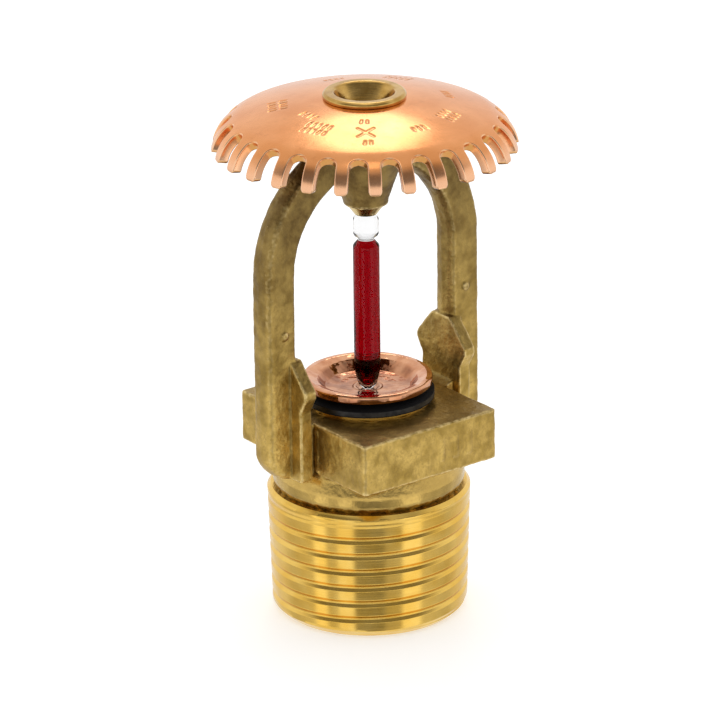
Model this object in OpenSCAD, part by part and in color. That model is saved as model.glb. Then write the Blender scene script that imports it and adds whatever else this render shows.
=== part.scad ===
// Upright fire sprinkler head with a frangible glass bulb.
// Millimetres, +Z up. The origin is the centre of the inlet face, and the two frame arms lie along X.

/* [Thread] */
// Radius of the thread crests at the inlet face
thread_crest_r = 10.36; // [10.3:0.02:10.5]
// Distance between two crests
thread_pitch = 1.814; // [1.7:0.002:1.9]
// Height from root to crest
thread_depth = 1.3; // [1.1:0.05:1.35]
// Number of full crests
thread_turns = 7; // [6:1:7]

/* [Body] */
// Radius of the straight waterway
waterway_r = 5.6; // [5.2:0.1:6]
// Height where the cast neck starts
neck_z = 14.0; // [13.8:0.1:14.4]
// Radius of the cast neck
neck_r = 10.1; // [9.8:0.1:10.3]
// Underside of the wrench boss
boss_low_z = 17.5; // [17:0.1:18]
// Top of the wrench boss
boss_top_z = 23.0; // [22.6:0.1:23.2]
// Size of the wrench boss along the arms
boss_x = 17.6; // [17:0.1:18]
// Size of the wrench boss across its two wrench flats
boss_y = 20.5; // [20:0.1:21]

/* [Arms] */
// Radius of the outside of the arch, and half the width over the arms
arch_outer_r = 14.1; // [13.6:0.1:14.4]
// Radius of the inside of the arch
arch_inner_r = 10.1; // [9.8:0.1:10.4]
// Height of the centre of the arch
arch_z = 39.2; // [38.5:0.1:39.6]
// Width of the web of an arm
web_w = 3.0; // [2.6:0.1:3.2]
// Width of the outer rib of an arm
rib_w = 3.1; // [3.1:0.1:3.8]
// Radial depth of the outer rib
rib_depth = 1.3; // [1:0.1:1.5]

/* [Deflector] */
// Outside radius over the bent tines
deflector_r = 16.15; // [16:0.05:16.3]
// Sheet thickness
deflector_t = 1.1; // [0.9:0.05:1.2]
// Height of the crown, taken through to the axis
crown_z = 56.8; // [56.7:0.05:56.9]
// Radius of the domed part
dome_r = 44; // [42:1:48]
// Radius of the bend that turns the tines down
bend_r = 4.6; // [4.2:0.1:5]
// Number of tines
tine_count = 28; // [24:1:30]
// Width of one tine
tine_w = 1.4; // [1.3:0.05:1.7]
// Radius at which the slots start
slot_root_r = 13.85; // [13.4:0.05:14.5]

/* [Release parts] */
// Outside radius of the glass bulb
bulb_r = 1.4; // [1.35:0.05:1.5]
// Lowest point of the glass bulb
bulb_low_z = 24.35; // [24.3:0.05:24.5]
// Highest point of the glass bulb
bulb_top_z = 44.05; // [43.9:0.05:44.2]
// Outside radius of the rolled rim of the cap
cap_r = 6.9; // [6.6:0.1:7]
// Underside of the rolled rim of the cap
cap_rim_z = 24.84; // [24.8:0.01:24.9]
// Outside radius of the disc spring
spring_r = 7.05; // [6.9:0.05:7.1]
// Thickness of the disc spring
spring_t = 0.5; // [0.45:0.05:0.5]
// Thickness of the tape on each face of the disc spring
tape_t = 0.1; // [0.08:0.01:0.12]
// Radius of the compression screw
screw_r = 1.98; // [1.9:0.02:2]
// Radial gap between the screw and its hole
screw_gap = 0.05; // [0.03:0.01:0.08]

/* [Hidden] */
$fn = 96;

past = 1;                       // how far a cutting shape runs past the face it cuts
taper = 1 / 32;                 // radius gained per millimetre of height on the tapered thread
first_crest_z = 1.27;           // height of the lowest crest
crest_flat = 0.08;              // half the width of a crest
root_flat = 0.08;               // half the width of a root
inlet_chamfer_r = 9.6;          // radius of the inlet face's outer edge
inlet_chamfer_z = 0.29;         // height of that edge's chamfer
inlet_mouth_r = 7.6;            // radius of the waterway at the inlet face
inlet_cone_z = 6;               // height where the inlet cone ends
seat_top_z = 23.8;              // top of the seat that the disc spring presses on
seat_outer_r = 6.3;             // outside radius of the seat
boss_corner_r = 0.5;            // radius of the boss's upright edges

arm_end_z = 17.0;               // lower end of an arm
arm_end_r = 3.3;                // rounding of an arm's lower outer corner
foot_inner_x = 10.0;            // inner side of an arm's foot, above the boss
foot_top_z = 26.2;              // height where the arm narrows to its web
foot_fill_w = 4.2;              // width of the block that joins a foot to the boss
wing_inner_x = 9.8;             // inner side of the plate that carries an arm's lugs
wing_outer_x = 11.3;            // outer side of that plate
wing_low_z = 17.2;              // lower end of the plate
wing_w = 6.4;                   // width of the plate below its lugs
wing_neck_z = 25.3;             // height where the plate starts to widen to its lugs
lug_span = 8.0;                 // distance between the tips of an arm's two lugs
lug_z = 27.2;                   // height of a lug's tip
lug_r = 0.6;                    // rounding of a lug's tip
lug_top_w = 2.8;                // width of the plate at its top
lug_top_z = 30.4;               // top of the plate
pip_x = 12.0;                   // place of the small round witness mark on each arm
pip_z = 33.4;
pip_r = 0.43;
pip_h = 0.3;

knuckle_low_z = 45.0;           // lower end of the knuckle that holds the screw
knuckle_rim_z = 45.6;
knuckle_rim_r = 2.45;
knuckle_top_r = 4.2;            // radius of the knuckle where it meets the arch
knuckle_top_z = 50.5;
nose_seat_z = 55.52;            // shoulder under the deflector
nose_r = 3.3;                   // neck of the nose, through the deflector
nose_gap = 0.02;                // gap between the nose and the deflector
flange_r = 4.4;                 // radius of the flared ring that clamps the deflector
flange_top_z = 57.25;
flange_edge = 0.3;              // rounding of the flared ring
mouth_r = 3.1;                  // inside of the flared ring at its top
mouth_low_z = 54.6;             // lower end of the conical mouth

bend_end = 81;                  // slope at which a tine ends, in degrees
deflector_turn = -1.75;         // turn of the deflector about the axis, in degrees
arc_step = 4;                   // degrees between two points of an arc

cap_wall = 0.62;                // thickness of the cap's pressed sheet
cap_floor_z = 23.9;             // underside of the cap's floor
insert_r = 1.6;                 // outside radius of the insert in the cap's floor
insert_top_z = 24.56;
spring_inner_r = 5.1;
spring_slope = 0.275;           // rise of the disc spring's cone towards the axis

liquid_gap = 0.02;              // gap between the liquid and the glass
glass_wall = 0.25;
bulb_foot_z = 26.4;             // height where the bulb reaches its full radius
bulb_shoulder_z = 40.4;         // height where the bulb starts to narrow
bulb_neck_z = 41.15;            // narrowest height, under the clear ball
bulb_ball_z = 42.6;             // middle of the clear ball
tip_low_z = 43.85;              // lower end of the screw's point
tip_r = 1.2;                    // radius of the screw's point at its end
screw_top_z = 52.4;
hex_flats = 2.0;                // across flats of the hexagon socket
hex_depth = 2.2;

// Radius of the thread's crests at height z
function crest_r(z) = thread_crest_r + taper * z;
// Points of one turn of the thread, from the root below a crest to the root above it
function turn(k) = let (z = first_crest_z + k * thread_pitch, h = thread_pitch / 2) [
    [crest_r(z) - thread_depth, z - h + root_flat],
    [crest_r(z), z - crest_flat],
    [crest_r(z), z + crest_flat],
    [crest_r(z) - thread_depth, z + h - root_flat]
];
// Points on an arc about [cx, cz], where the angle is measured from +Z towards +X
function arc(cx, cz, r, from, to) = let (steps = ceil(abs(to - from) / arc_step))
    [for (i = [0:steps]) let (a = from + (to - from) * i / steps) [cx + r * sin(a), cz + r * cos(a)]];

// Slope of the dome where the bend starts, from the outside radius: the bend's own centre lies on the normal
dome_end = asin((deflector_r - bend_r) / (dome_r - bend_r));
bend_cx = (dome_r - bend_r) * sin(dome_end);
bend_cz = crown_z - dome_r + (dome_r - bend_r) * cos(dome_end);

// A rectangle with rounded corners, centred on the origin
module round_rect(x, y, r) {
    square([x - 2 * r, y], center = true);
    square([x, y - 2 * r], center = true);
    for (sx = [-1, 1], sy = [-1, 1])
        translate([sx * (x / 2 - r), sy * (y / 2 - r)])
            circle(r = r, $fn = 48);
}

// Thread, neck and the part of the casting that is turned about the axis
module turned_body() {
    last_z = first_crest_z + (thread_turns - 0.5) * thread_pitch;
    rotate_extrude()
        polygon(concat(
            [[0, 0], [inlet_chamfer_r, 0], [crest_r(0) - thread_depth, inlet_chamfer_z]],
            [for (k = [0:thread_turns - 1]) each turn(k)],
            [
                [crest_r(last_z) - thread_depth / 2, last_z + root_flat],
                [crest_r(last_z), neck_z - 0.35],
                [neck_r - 0.25, neck_z],
                [neck_r, neck_z + 0.5],
                [neck_r, boss_low_z - 0.3],
                [boss_x / 2 - 0.4, boss_low_z + 1.1],
                [0, boss_low_z + 1.1]
            ]
        ));
}

// Rectangular boss that a wrench grips
module wrench_boss() {
    translate([0, 0, boss_low_z])
        linear_extrude(boss_top_z - boss_low_z)
            round_rect(boss_x, boss_y, boss_corner_r);
}

// Outline of one arm's foot, on the +X side: X is across the page and Z is up it
module foot_outline() {
    difference() {
        translate([boss_x / 2 - 0.4, arm_end_z])
            square([arch_outer_r - boss_x / 2 + 0.4, foot_top_z - arm_end_z]);
        translate([arch_outer_r - arm_end_r, arm_end_z])
            square([arm_end_r + past, arm_end_r]);
        translate([boss_x / 2 - past, boss_top_z])
            square([foot_inner_x - boss_x / 2 + past, foot_top_z - boss_top_z + past]);
    }
    translate([arch_outer_r - arm_end_r, arm_end_z + arm_end_r])
        circle(r = arm_end_r);
}

// Outline of the arch with its two upright legs, between two radii
module arch_outline(inner_r, outer_r) {
    difference() {
        union() {
            translate([0, arch_z])
                circle(r = outer_r, $fn = 180);
            translate([-outer_r, foot_top_z - past])
                square([2 * outer_r, arch_z - foot_top_z + past]);
        }
        translate([0, arch_z])
            circle(r = inner_r, $fn = 180);
        translate([-inner_r, 0])
            square([2 * inner_r, arch_z]);
    }
}

// Half of a wing plate's outline: its width from the middle of the arm is across the page and Z is up it
module half_wing_outline() {
    tip_y = lug_span / 2 - lug_r;
    polygon([
        [-past, wing_low_z],
        [wing_w / 2, wing_low_z],
        [wing_w / 2, wing_neck_z],
        [tip_y + 0.83 * lug_r, lug_z - 0.56 * lug_r],
        [tip_y + 0.81 * lug_r, lug_z + 0.58 * lug_r],
        [lug_top_w / 2, lug_top_z],
        [-past, lug_top_z]
    ]);
    translate([tip_y, lug_z])
        circle(r = lug_r, $fn = 48);
}

// Plate on the +X arm whose two lugs stick out at the front and the back
module wing_plate() {
    translate([wing_inner_x, 0, 0])
        rotate([90, 0, 90])
            linear_extrude(wing_outer_x - wing_inner_x) {
                half_wing_outline();
                mirror([1, 0, 0])
                    half_wing_outline();
            }
}

// Outline of the block between an arm's foot and the end of the boss
module foot_fill_outline() {
    translate([boss_x / 2 - 0.4, arm_end_z])
        square([wing_inner_x - boss_x / 2 + 0.8, boss_top_z - 0.3 - arm_end_z]);
}

// Extrudes an outline drawn in X and Z to a width along Y, centred on the arms' plane
module across(width) {
    translate([0, width / 2, 0])
        rotate([90, 0, 0])
            linear_extrude(width)
                children();
}

// Draws its children on the +X arm and again on the -X arm
module both_arms() {
    children();
    mirror([1, 0, 0])
        children();
}

module arms() {
    across(web_w)
        arch_outline(arch_inner_r, arch_outer_r - rib_depth / 2);
    across(rib_w) {
        arch_outline(arch_outer_r - rib_depth, arch_outer_r);
        both_arms()
            foot_outline();
    }
    across(foot_fill_w)
        both_arms()
            foot_fill_outline();
    both_arms()
        wing_plate();
    both_arms()
        translate([pip_x, -web_w / 2 - pip_h, pip_z])
            rotate([-90, 0, 0])
                cylinder(r = pip_r, h = pip_h + past, $fn = 32);
}

// Column that hangs from the arch, holds the screw and carries the deflector
module knuckle() {
    dome_low_z = crown_z - dome_r + sqrt(pow(dome_r, 2) - pow(nose_r, 2));
    flange_low_z = crown_z - dome_r + sqrt(pow(dome_r, 2) - pow(flange_r, 2));
    rotate_extrude()
        polygon([
            [0, knuckle_low_z],
            [knuckle_rim_r - 0.35, knuckle_low_z],
            [knuckle_rim_r, knuckle_rim_z],
            [knuckle_top_r, knuckle_top_z],
            [knuckle_top_r, nose_seat_z - 0.9],
            [knuckle_top_r - 0.3, nose_seat_z - nose_gap],
            [nose_r, nose_seat_z - nose_gap],
            [nose_r, dome_low_z + nose_gap],
            [flange_r - flange_edge / 2, flange_low_z + nose_gap],
            [flange_r, flange_low_z + flange_edge],
            [flange_r - flange_edge / 2, flange_top_z - flange_edge / 3],
            [flange_r - flange_edge, flange_top_z],
            [0, flange_top_z]
        ]);
}

module frame() {
    color([0.72, 0.60, 0.30])
        difference() {
            union() {
                turned_body();
                wrench_boss();
                cylinder(r = seat_outer_r, h = seat_top_z);
                arms();
                knuckle();
            }
            translate([0, 0, -past])
                cylinder(r = waterway_r, h = seat_top_z + 2 * past);
            translate([0, 0, -past])
                cylinder(r1 = inlet_mouth_r + past * (inlet_mouth_r - waterway_r) / inlet_cone_z,
                    r2 = waterway_r, h = inlet_cone_z + past);
            translate([0, 0, knuckle_low_z - past])
                cylinder(r = screw_r + screw_gap, h = flange_top_z - knuckle_low_z + 2 * past);
            translate([0, 0, mouth_low_z])
                cylinder(r1 = screw_r + screw_gap, r2 = mouth_r, h = flange_top_z - mouth_low_z);
            translate([0, 0, flange_top_z - flange_edge])
                cylinder(r1 = mouth_r - 0.1, r2 = mouth_r + 0.25, h = flange_edge + 0.01);
        }
}

// Section of the deflector's sheet, from the hole in its middle to the tip of a tine
module deflector_section() {
    hole_slope = asin((nose_r + nose_gap) / dome_r);
    hole_slope_low = asin((nose_r + nose_gap) / (dome_r - deflector_t));
    cz = crown_z - dome_r;
    polygon(concat(
        arc(0, cz, dome_r, hole_slope, dome_end),
        arc(bend_cx, bend_cz, bend_r, dome_end + arc_step, bend_end),
        arc(bend_cx, bend_cz, bend_r - deflector_t, bend_end, dome_end + arc_step),
        arc(0, cz, dome_r - deflector_t, dome_end, hole_slope_low)
    ));
}

// Opening between two tines, from its round root outwards
module slot_cut() {
    half_pitch = 180 / tine_count;
    root_cut_r = slot_root_r * sin(half_pitch) - tine_w / 2 + 0.12;
    far_r = deflector_r + past;
    linear_extrude(crown_z) {
        translate([slot_root_r + root_cut_r, 0])
            circle(r = root_cut_r, $fn = 32);
        polygon([
            [slot_root_r + root_cut_r, root_cut_r],
            [far_r, far_r * sin(half_pitch) - tine_w / 2],
            [far_r, tine_w / 2 - far_r * sin(half_pitch)],
            [slot_root_r + root_cut_r, -root_cut_r]
        ]);
    }
}

module deflector() {
    color([0.86, 0.55, 0.42])
        difference() {
            rotate_extrude()
                deflector_section();
            for (k = [0:tine_count - 1])
                rotate(deflector_turn + k * 360 / tine_count)
                    slot_cut();
        }
}

module compression_screw() {
    color([0.75, 0.63, 0.33])
        difference() {
            rotate_extrude()
                polygon([
                    [0, tip_low_z],
                    [tip_r, tip_low_z],
                    [screw_r, knuckle_low_z - 0.1],
                    [screw_r, screw_top_z - 0.3],
                    [screw_r - 0.3, screw_top_z],
                    [0, screw_top_z]
                ]);
            translate([0, 0, screw_top_z - hex_depth])
                cylinder(d = hex_flats / cos(30), h = hex_depth + past, $fn = 6);
            translate([0, 0, tip_low_z - past])
                cylinder(r1 = 0.95 + past * 1.2, r2 = 0.2, h = past + 0.6, $fn = 48);
        }
}

// Outline of the bulb's glass below its neck, shrunk by a wall thickness for its inside
module bulb_outline(shrink) {
    r = bulb_r - shrink;
    polygon(concat(
        [[0, bulb_low_z + 1.6 * shrink], [0.5 - shrink, bulb_low_z + 1.6 * shrink]],
        [[0.95 - 0.8 * shrink, bulb_low_z + 0.45 + shrink / 2], [r - 0.15, bulb_foot_z - 0.8], [r, bulb_foot_z]],
        [[r, bulb_shoulder_z - 0.2], [r - 0.1, bulb_shoulder_z + 0.15]],
        [[0.85 - shrink, bulb_neck_z - 0.25 - shrink], [0, bulb_neck_z - 0.2 - shrink]]
    ));
}

module bulb_glass() {
    color([0.9, 0.9, 0.95, 0.4])
        rotate_extrude()
            difference() {
                union() {
                    bulb_outline(0);
                    polygon([
                        [0, bulb_shoulder_z],
                        [0.95, bulb_shoulder_z + 0.4],
                        [0.83, bulb_neck_z - 0.1],
                        [1.1, bulb_neck_z + 0.15],
                        [1.3, bulb_neck_z + 0.5],
                        [1.37, bulb_ball_z - 0.4],
                        [1.37, bulb_ball_z + 0.3],
                        [1.2, bulb_ball_z + 0.9],
                        [0.85, bulb_top_z - 0.25],
                        [0.5, bulb_top_z],
                        [0, bulb_top_z]
                    ]);
                }
                bulb_outline(glass_wall);
            }
}

module bulb_liquid() {
    color([0.7, 0.02, 0.08])
        rotate_extrude()
            bulb_outline(glass_wall + liquid_gap);
}

module pip_cap() {
    rim_top_z = cap_rim_z + 1.05;
    floor_top_z = cap_floor_z + cap_wall;
    color([0.80, 0.50, 0.40])
        difference() {
            rotate_extrude()
                polygon([
                    [0, cap_floor_z],
                    [4.0, cap_floor_z],
                    [4.9, cap_rim_z],
                    [cap_r - 0.35, cap_rim_z],
                    [cap_r - 0.08, cap_rim_z + 0.18],
                    [cap_r, cap_rim_z + 0.5],
                    [cap_r - 0.08, rim_top_z - 0.22],
                    [cap_r - 0.35, rim_top_z],
                    [cap_r - 0.7, rim_top_z - 0.05],
                    [5.0, cap_rim_z + 0.72],
                    [4.2, floor_top_z + 0.25],
                    [3.4, floor_top_z],
                    [0, floor_top_z]
                ]);
            translate([0, 0, cap_floor_z - past])
                cylinder(r = insert_r + 0.01, h = 3 * past);
        }
}

module pip_insert() {
    color([0.72, 0.72, 0.74])
        difference() {
            rotate_extrude()
                polygon([
                    [0, cap_floor_z],
                    [insert_r, cap_floor_z],
                    [insert_r, insert_top_z - 0.1],
                    [insert_r - 0.1, insert_top_z],
                    [0, insert_top_z]
                ]);
            translate([0, 0, bulb_low_z - 0.005])
                cylinder(r1 = 0.95, r2 = 1.3, h = insert_top_z - bulb_low_z + 0.01);
        }
}

// A coned layer of the spring, whose underside is at height z over the edge of the seat
module cone_ring(z, thick) {
    inner_z = z + (seat_outer_r - spring_inner_r) * spring_slope;
    outer_z = z - (spring_r - seat_outer_r) * spring_slope;
    rotate_extrude()
        polygon([
            [spring_inner_r, inner_z],
            [spring_r, outer_z],
            [spring_r, outer_z + thick],
            [spring_inner_r, inner_z + thick]
        ]);
}

module seal_tape_lower() {
    color([0.10, 0.10, 0.11])
        cone_ring(seat_top_z, tape_t);
}

module disc_spring() {
    color([0.45, 0.44, 0.42])
        cone_ring(seat_top_z + tape_t, spring_t);
}

module seal_tape_upper() {
    color([0.10, 0.10, 0.11])
        cone_ring(seat_top_z + tape_t + spring_t, tape_t);
}

frame();
deflector();
compression_screw();
bulb_glass();
bulb_liquid();
pip_cap();
pip_insert();
disc_spring();
seal_tape_upper();
seal_tape_lower();
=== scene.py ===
import math
import bmesh
import bpy
import numpy as np
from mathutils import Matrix, Vector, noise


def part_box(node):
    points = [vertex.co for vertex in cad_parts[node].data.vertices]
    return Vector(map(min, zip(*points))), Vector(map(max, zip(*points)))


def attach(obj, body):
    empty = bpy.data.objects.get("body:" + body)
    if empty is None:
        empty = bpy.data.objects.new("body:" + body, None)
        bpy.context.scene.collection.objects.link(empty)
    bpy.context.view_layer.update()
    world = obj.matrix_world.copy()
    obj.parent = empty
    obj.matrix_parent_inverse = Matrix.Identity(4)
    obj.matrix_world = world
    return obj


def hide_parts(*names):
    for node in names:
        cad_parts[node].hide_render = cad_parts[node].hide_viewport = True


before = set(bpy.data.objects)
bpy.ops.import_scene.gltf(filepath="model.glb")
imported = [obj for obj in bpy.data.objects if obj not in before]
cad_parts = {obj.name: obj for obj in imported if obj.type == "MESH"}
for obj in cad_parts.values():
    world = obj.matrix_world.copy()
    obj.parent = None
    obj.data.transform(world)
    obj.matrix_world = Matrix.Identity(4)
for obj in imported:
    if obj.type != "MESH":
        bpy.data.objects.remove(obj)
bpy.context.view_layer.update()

# A fire sprinkler head, standing on its threaded inlet. The casting, thread, nose, deflector, cap and
# bulb are modelled here. The other CAD nodes keep their shapes and get a material.

MM = 0.001                  # the scene is in metres, and the sizes below are in millimetres


def node_box(node):
    """Lowest and highest corner of a CAD node, in millimetres."""
    low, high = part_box(node)
    return [c / MM for c in low], [c / MM for c in high]


FRAME_LOW, FRAME_HIGH = node_box("frame")
DEFLECTOR_LOW, DEFLECTOR_HIGH = node_box("deflector")
CAP_LOW, CAP_HIGH = node_box("pip_cap")
BULB_LOW, BULB_HIGH = node_box("bulb_glass")
INSERT_HIGH = node_box("pip_insert")[1]

WELD_DISTANCE = 1e-7        # metres

# Pipe thread
THREAD_CREST_R = 10.36      # crest radius at the inlet face
THREAD_TAPER = 1 / 32       # radius gained per millimetre of height
THREAD_PITCH = 1.814
THREAD_DEPTH = 0.25
CREST_FLAT, ROOT_FLAT = 0.48, 0.06      # half the width of a crest and of a root
RUN_OUT_Z, SHOULDER_Z, THREAD_TOP_Z = 11.9, 13.55, 13.95
THREAD_STEPS = 288          # vertices round the thread
FIRST_CREST_Z = 1.27        # height of the lowest crest on the side that faces the camera
INLET_R = 9.6
INLET_MOUTH_R = 7.6
INLET_CONE_Z = 6.0
WATERWAY_R = 5.6
SEAT_OUTER_R, SEAT_TOP_Z = 6.3, 23.8
HIDDEN_R = 8.3              # outer radius of the seat's tube, where the casting hides it
SEAT_HOLE_R = 7.4           # radius of the neck's hole, which the tube fills

# Casting
NECK_R = 10.1
BOSS_LOW_Z, BOSS_TOP_Z = 17.5, 23.0
FOOT_LOW_Z = 17.0
BOSS_X, BOSS_Y = 17.6, FRAME_HIGH[1] - FRAME_LOW[1]
ARCH_OUTER_R = FRAME_HIGH[0]
ARCH_INNER_R = 10.1
ARCH_Z = 39.2
ARCH_END = 76               # degrees of the arch that an arm covers, up to the knuckle's bore
WEB_HALF = 1.5              # half the width of an arm
FOOT_R = 3.3                # rounding of an arm's lower corner
FOOT_STEPS, LEG_STEPS, ARCH_STEPS = 9, 12, 30       # sections along an arm
FOOT_FILL_HALF = 2.1        # half the width of the block between a foot and the boss
WING_INNER_X, WING_OUTER_X = 9.8, 11.3
WING_LOW_Z, WING_NECK_Z = 17.2, 25.2
WING_HALF = 3.2             # half the width of the plate below its lugs
LUG_TIP_Y, LUG_Z = 4.0, 27.2
LUG_TOP_Y, LUG_TOP_Z = 1.5, 30.3
PIP_X, PIP_Z, PIP_R, PIP_HEIGHT = 12.0, 33.4, 0.43, 0.85
BAR_PLACES = (1.4, 3.2, 5.0)            # plain raised bars on the boss, from its middle
BAR_LOW_Z, BAR_HEIGHT, BAR_HALF = 19.0, 2.4, 0.28
KNUCKLE_LOW_Z, KNUCKLE_RIM_Z, KNUCKLE_RIM_R = 45.0, 45.6, 2.45
KNUCKLE_TOP_R, KNUCKLE_TOP_Z = 4.15, 50.5
NOSE_SEAT_Z = 55.5
NOSE_LOW_Z = 50.0           # lower end of the nose's own piece, inside the knuckle
SCREW_HOLE_R = 2.03
VOXEL = 0.13                # grid of the casting's remesh
RAGGED = 0.3                # unevenness of the casting's lower rim
COARSE, FINE = 0.05, 0.022  # heights of the casting's wide and narrow bumps

# Nose and deflector
NOSE_R = 3.3
FLANGE_R, FLANGE_TOP_Z = 4.4, FRAME_HIGH[2]
MOUTH_R, MOUTH_LOW_Z = 3.1, 54.6
CROWN_Z = 56.8
DOME_R = 44.0
BEND_R = 4.6
SHEET_T = 1.1
TINE_COUNT = 28
TINE_W = 1.4
SLOT_ROOT_R = 13.85
BEND_END = math.radians(81)
DEFLECTOR_TURN = math.radians(-1.75)
SLOT_R = 0.93               # radius of the round root of a slot
EDGE_R = 0.16               # rounding of the sheet's edges
TIP_R, TIP_CUT = 0.5, 0.85  # rounding of a tine's corners, and the share of it that is cut off
DOME_ROWS, TINE_ROWS = 76, 22           # rows of vertices along the dome and along a tine
TINE_COLUMNS = 25           # vertices across one sector of the sheet
STAMP_DEPTH = 0.07
STAMP_HALF = 0.2            # half the width of a stamped tick
STAMP_WALL = 0.1            # width of a tick's sloping edge
TICK, TICK_PITCH, ROW_PITCH = 0.62, 0.62, 1.15
STAMP_GROUPS = (            # angle and radius on the dome, ticks in a row, rows
    (-160, 9.2, 5, 2), (-178, 7.4, 4, 1), (-128, 7.0, 2, 1), (-126, 11.2, 2, 1), (-92, 9.6, 3, 1),
    (-62, 9.4, 4, 2), (-215, 9.0, 5, 2), (-20, 9.0, 4, 1), (30, 9.2, 5, 2), (75, 8.2, 4, 1))
CROSS_ANGLE, CROSS_R, CROSS_ARM = -127, 9.2, 1.15

# Cap and bulb
CAP_RIM_RISE = 0.94         # height of the rim's underside above the cap's floor
CAP_DISH_Z = 24.52
BULB_WALL = 0.22
BARREL_TOP_Z, FILL_TOP_Z = 40.35, 40.42     # tops of the glass barrel and of the liquid

# Camera, with its angles in degrees
CAMERA_AZ, CAMERA_EL, CAMERA_ROLL = -37.5, 20.9, -0.67
CAMERA_DISTANCE = 600.0
CAMERA_AIM = (-0.618, 0.474, 27.45)
CAMERA_LENS, CAMERA_SENSOR = 285.0, 36
FLOOR_HALF = 3.0            # metres
LIGHT_AIM_Z = 30

# The studio's brightness, as (azimuth, level) pairs round the object where azimuth 0 is towards the camera.
# From below there are a bright table, upright panels, a plain horizon, dimmer panels and a plain top.
# Each range is where one of these fades into the next, as sines of the elevation.
STUDIO_PANELS = (
    (-180, 0.95), (-125, 0.85), (-100, 0.62), (-72, 0.70), (-64, 1.30), (-55, 1.30), (-48, 0.62),
    (-40, 0.70), (-35, 1.15), (-21, 1.15), (-15, 0.30), (14, 0.25), (22, 0.50), (36, 0.55),
    (41, 1.25), (60, 1.25), (66, 0.70), (100, 0.60), (130, 0.85), (180, 0.95))
STUDIO_UPPER = ((-180, 0.95), (-100, 0.85), (-62, 0.22), (62, 0.22), (100, 0.85), (180, 0.95))
STUDIO_TABLE, STUDIO_HORIZON, STUDIO_TOP = 1.0, 1.0, 0.80
STUDIO_TABLE_RANGE = (-0.64, -0.52)
STUDIO_HORIZON_RANGE = (-0.16, -0.08)
STUDIO_UPPER_RANGE = (0.36, 0.44)
STUDIO_TOP_RANGE = (0.78, 0.93)


# ---------------------------------------------------------------- mesh helpers

def add_piece(name, vertices, faces, body, slot, material, sharp=None):
    """A mesh object from vertices in millimetres. It rides on a CAD body."""
    mesh = bpy.data.meshes.new(name)
    mesh.from_pydata([tuple(v) for v in np.asarray(vertices) * MM], [], faces)
    mesh.validate()
    piece = bpy.data.objects.new(name, mesh)
    bpy.context.scene.collection.objects.link(piece)
    finish_piece(piece, body, material, sharp)
    return piece


def finish_piece(piece, body, material, sharp=None):
    """Shading, material and body of a piece. Edges steeper than sharp degrees stay sharp."""
    piece.data.materials.clear()
    piece.data.materials.append(material)
    piece.data.shade_smooth()
    if sharp:
        sharpen(piece, sharp)
    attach(piece, body)


def sharpen(piece, degrees):
    piece.data.set_sharp_from_angle(angle=math.radians(degrees))


def grid_faces(rows, columns, close_rows=False, close_columns=False):
    """Quads over a grid of rows x columns vertices, stored row by row."""
    faces = []
    for i in range(rows if close_rows else rows - 1):
        for j in range(columns if close_columns else columns - 1):
            i2, j2 = (i + 1) % rows, (j + 1) % columns
            faces.append((i * columns + j, i * columns + j2, i2 * columns + j2, i2 * columns + j))
    return faces


def rounded(points, steps=5):
    """A closed outline from (a, b, radius) corners, each corner rounded by an arc."""
    outline = []
    count = len(points)
    for i, (a, b, radius) in enumerate(points):
        corner = np.array([a, b])
        if radius <= 0:
            outline.append(corner)
            continue
        before = np.array(points[i - 1][:2]) - corner
        after = np.array(points[(i + 1) % count][:2]) - corner
        before_len, after_len = np.linalg.norm(before), np.linalg.norm(after)
        before, after = before / before_len, after / after_len
        half = math.acos(np.clip(before @ after, -1, 1)) / 2
        cut = min(radius / math.tan(half), before_len * 0.49, after_len * 0.49)
        start, end = corner + before * cut, corner + after * cut
        for k in range(steps + 1):
            t = k / steps
            outline.append((1 - t) ** 2 * start + 2 * t * (1 - t) * corner + t * t * end)
    return outline


def lathe(outline, steps=160):
    """Vertices and faces of an outline of (r, z) points turned about Z. A point at r = 0 becomes a pole."""
    vertices, rings = [], []
    for r, z in outline:
        if r < 1e-6:
            rings.append([len(vertices)])
            vertices.append((0, 0, z))
        else:
            rings.append(list(range(len(vertices), len(vertices) + steps)))
            vertices += [(r * math.cos(a), r * math.sin(a), z)
                         for a in (2 * math.pi * k / steps for k in range(steps))]
    faces = []
    for low, high in zip(rings, rings[1:] + rings[:1]):
        if len(low) == 1 and len(high) == 1:
            continue
        for k in range(steps):
            k2 = (k + 1) % steps
            if len(low) == 1:
                faces.append((low[0], high[k2], high[k]))
            elif len(high) == 1:
                faces.append((low[k], low[k2], high[0]))
            else:
                faces.append((low[k], low[k2], high[k2], high[k]))
    return vertices, faces


def extrude_outline(outline, low, high, axis="Y"):
    """A plate from low to high along an axis. Its outline is in X and Z, or in Y and Z if the axis is X."""
    count = len(outline)
    if axis == "X":
        vertices = [(x, a, z) for x in (low, high) for a, z in outline]
    else:
        vertices = [(a, y, z) for y in (low, high) for a, z in outline]
    faces = [(i, (i + 1) % count, count + (i + 1) % count, count + i) for i in range(count)]
    faces += [tuple(range(count))[::-1], tuple(range(count, 2 * count))]
    return vertices, faces


def sweep(stations, section):
    """A closed section of (radial, y) points carried along stations of (x, z, direction x, direction z)."""
    vertices = []
    for x, z, dx, dz in stations:
        vertices += [(x + u * dx, y, z + u * dz) for u, y in section]
    columns = len(section)
    faces = grid_faces(len(stations), columns, close_columns=True)
    last = (len(stations) - 1) * columns
    faces += [tuple(range(columns))[::-1], tuple(range(last, last + columns))]
    return vertices, faces


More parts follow.
